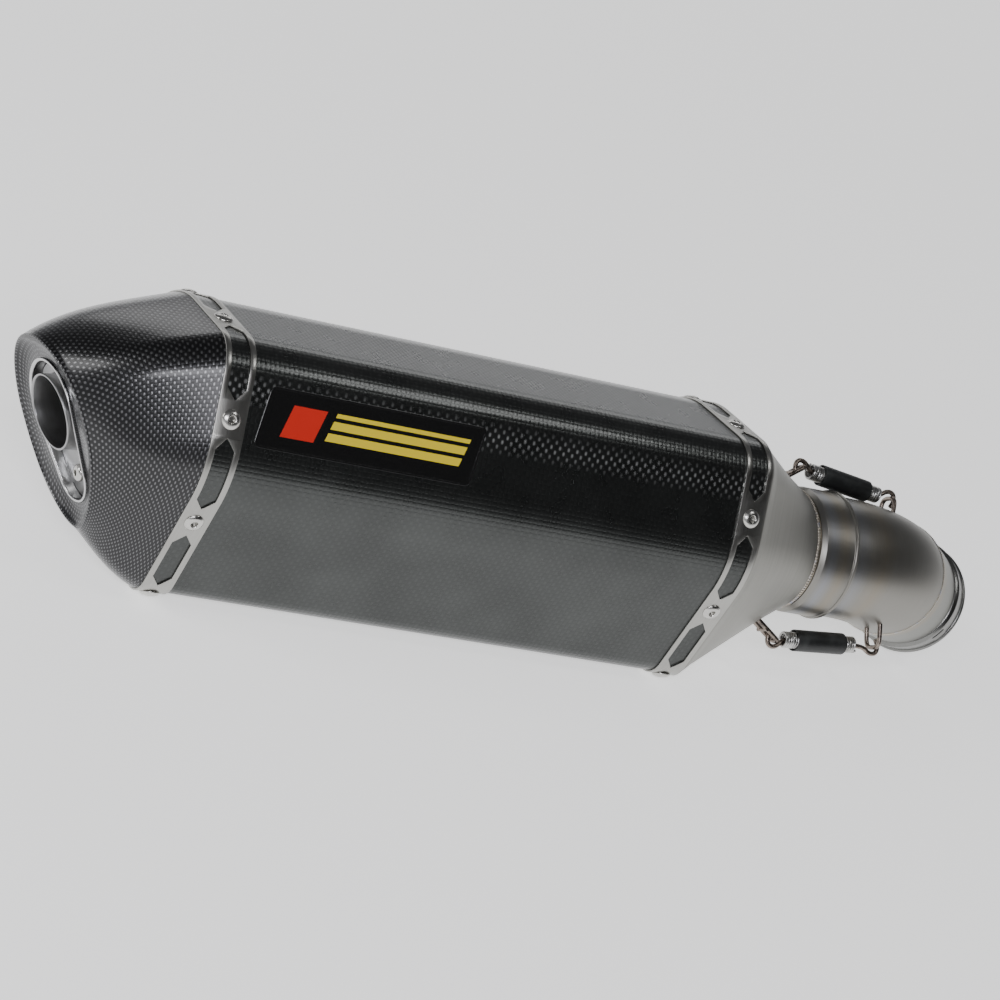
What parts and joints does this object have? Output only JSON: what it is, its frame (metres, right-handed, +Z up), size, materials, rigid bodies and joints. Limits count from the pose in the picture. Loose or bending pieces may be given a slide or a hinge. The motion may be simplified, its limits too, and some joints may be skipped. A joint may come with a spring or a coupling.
{
  "type": "exhaust muffler",
  "caption": "Slip-on motorcycle exhaust muffler: six-sided carbon can, slanted outlet cap with removable noise insert, riveted bands and a sprung bent link pipe.",
  "frame": {"origin": "centre of the link pipe's open collar, at its end face", "axes": "+X along the can's axis from the outlet towards the link pipe; +Z up from the lower side of the can that the muffler lies on"},
  "size_m": [0.5542, 0.1332, 0.1316],
  "materials": {
    "carbon": "clear-coated woven carbon fibre",
    "band_steel": "brushed",
    "rivet_steel": "polished",
    "outlet_steel": "satin",
    "inner_steel": "mill finish",
    "wool": "loose glass wool",
    "cap_steel": "satin brushed",
    "pipe_titanium": "satin, heat tinted near its welds",
    "weld_bead": "as welded",
    "collar_steel": "satin with bright edges",
    "hook_wire": "drawn wire, dull brown-grey",
    "spring_zinc": "bright zinc",
    "sleeve_rubber": "satin black",
    "label_black": "gloss black, blank"
  },
  "bodies": {
    "can": {"outer_sleeve": "carbon", "end_cap": "carbon", "outlet_band": "band_steel", "inlet_band": "band_steel", "outlet_rivets": "rivet_steel", "inlet_rivets": "rivet_steel", "outlet_tube": "outlet_steel", "outlet_end_plate": "inner_steel", "bolt_bracket": "outlet_steel", "core_tube": "inner_steel", "packing": "wool", "inlet_end_plate": "inner_steel", "inlet_diffuser": "inner_steel", "inlet_cap": "cap_steel", "inlet_stub": "pipe_titanium", "cap_weld": "weld_bead", "slip_socket": "pipe_titanium", "side_label": "label_black", "upper_can_hook": "hook_wire", "lower_can_hook": "hook_wire", "upper_spring": "spring_zinc", "lower_spring": "spring_zinc"},
    "link_pipe": {"link_bend": "pipe_titanium", "bend_weld": "weld_bead", "link_reducer": "pipe_titanium", "end_collar": "collar_steel", "upper_pipe_hook": "hook_wire", "lower_pipe_hook": "hook_wire"},
    "noise_insert": {"insert_tube": "outlet_steel", "insert_plate": "outlet_steel", "insert_end_disc": "outlet_steel"},
    "insert_bolt": {"insert_bolt": "rivet_steel"},
    "upper_rubber_sleeve": {"upper_rubber_sleeve": "sleeve_rubber"},
    "lower_rubber_sleeve": {"lower_rubber_sleeve": "sleeve_rubber"}
  },
  "joints": [
    {"name": "slip_slide", "type": "slide", "parent": "can", "child": "link_pipe", "axis": [1, 0, 0], "range_m": [0, 0.006], "stiffness_N_per_m": 3000, "springref_m": -0.01, "deforming": ["upper_spring", "lower_spring"]},
    {"name": "insert_slide", "type": "slide", "parent": "can", "child": "noise_insert", "axis": [-0.9781, -0.139, -0.1546], "range_m": [0, 0.075]},
    {"name": "bolt_turn", "type": "hinge", "parent": "noise_insert", "child": "insert_bolt", "pos_m": [-0.50125, -0.03884, 0.01255], "axis": [-0.9781, -0.139, -0.1546], "continuous": true},
    {"name": "upper_rubber_slide", "type": "slide", "parent": "can", "child": "upper_rubber_sleeve", "axis": [0.993, -0.059, -0.1027], "range_m": [-0.0025, 0.0025]},
    {"name": "lower_rubber_slide", "type": "slide", "parent": "can", "child": "lower_rubber_sleeve", "axis": [0.9968, 0.0684, 0.0416], "range_m": [-0.0025, 0.0025]}
  ]
}
